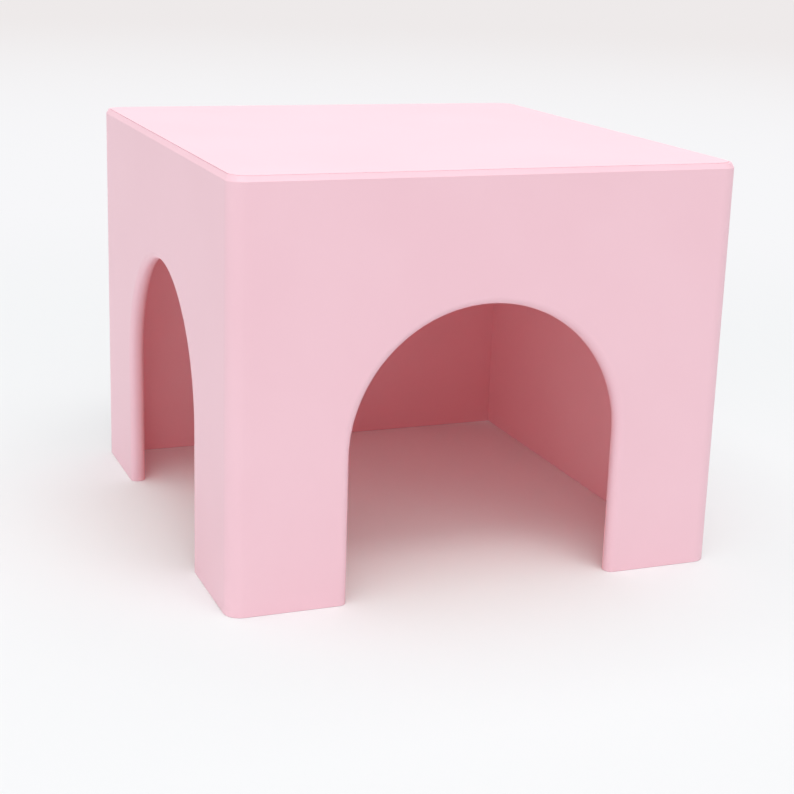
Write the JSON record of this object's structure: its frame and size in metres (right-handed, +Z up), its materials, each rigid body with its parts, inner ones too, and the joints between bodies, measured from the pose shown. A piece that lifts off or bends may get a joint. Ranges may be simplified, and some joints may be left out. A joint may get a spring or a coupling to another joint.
{
  "type": "small animal hide",
  "caption": "Open-bottomed painted board hide for small animals: a plain box with round-topped doorways in adjoining walls and a flat lift-off roof.",
  "frame": {"origin": "floor level, in the middle of the footprint", "axes": "+Z up; the front wall with its doorway faces -Y and the left wall with its doorway faces -X"},
  "size_m": [0.25, 0.26, 0.201],
  "materials": {
    "pink_lacquer": "satin pale pink lacquer on smooth board",
    "bare_beech": "bare beech"
  },
  "bodies": {
    "walls": {"front_panel": "pink_lacquer", "rear_panel": "pink_lacquer", "left_panel": "pink_lacquer", "right_panel": "pink_lacquer", "front_left_dowels": "bare_beech", "front_right_dowels": "bare_beech", "rear_left_dowels": "bare_beech", "rear_right_dowels": "bare_beech"},
    "roof": {"roof_panel": "pink_lacquer"}
  },
  "joints": [
    {"name": "roof_lift", "type": "slide", "parent": "walls", "child": "roof", "axis": [0, 0, 1], "range_m": [0, 0.06]}
  ]
}
